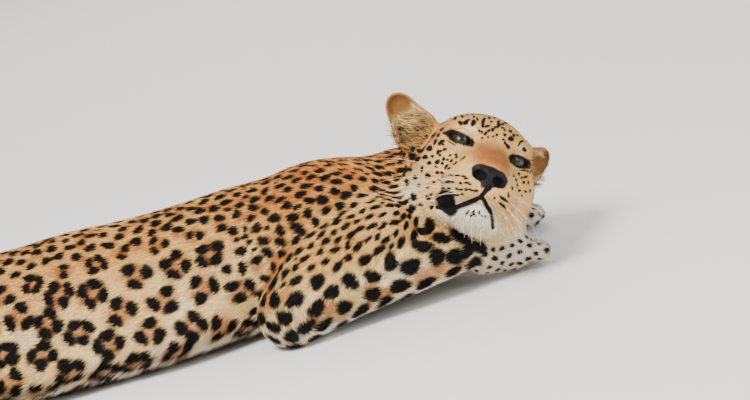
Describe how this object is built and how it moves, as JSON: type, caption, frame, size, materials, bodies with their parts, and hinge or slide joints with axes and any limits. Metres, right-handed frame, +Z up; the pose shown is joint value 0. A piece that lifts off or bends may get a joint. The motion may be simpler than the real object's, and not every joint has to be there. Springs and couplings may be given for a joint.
{
  "type": "leopard",
  "caption": "Life-size still leopard lying prone at rest, head turned out and laid on a folded foreleg, tail curved behind on the floor",
  "frame": {"origin": "middle of the bounding box, on the floor the animal lies on", "axes": "+X runs from the tail to the head, +Z is up, and the right flank, which the picture shows, faces -Y"},
  "size_m": [1.4446, 0.6438, 0.2707],
  "materials": {
    "coat": "short fur, golden with dark rosettes",
    "pale_coat": "short fur, cream with dark spots",
    "ear_coat": "thin fur, rust and buff",
    "nose_leather": "moist, satin",
    "eye": "wet gloss, olive green"
  },
  "bodies": {
    "root": {"eye_right": "eye", "eye_left": "eye", "nose_pad": "nose_leather", "head": "coat", "ear_right": "ear_coat", "ear_left": "ear_coat", "torso": "coat", "neck": "coat", "foreleg_left": "coat", "forepaw_left": "pale_coat", "foreleg_right": "coat", "forepaw_right": "pale_coat", "hindleg_right": "coat", "hindpaw_right": "pale_coat", "hindleg_left": "coat", "hindpaw_left": "pale_coat", "tail_base": "coat", "tail_middle": "coat", "tail_tip": "pale_coat"}
  },
  "joints": []
}
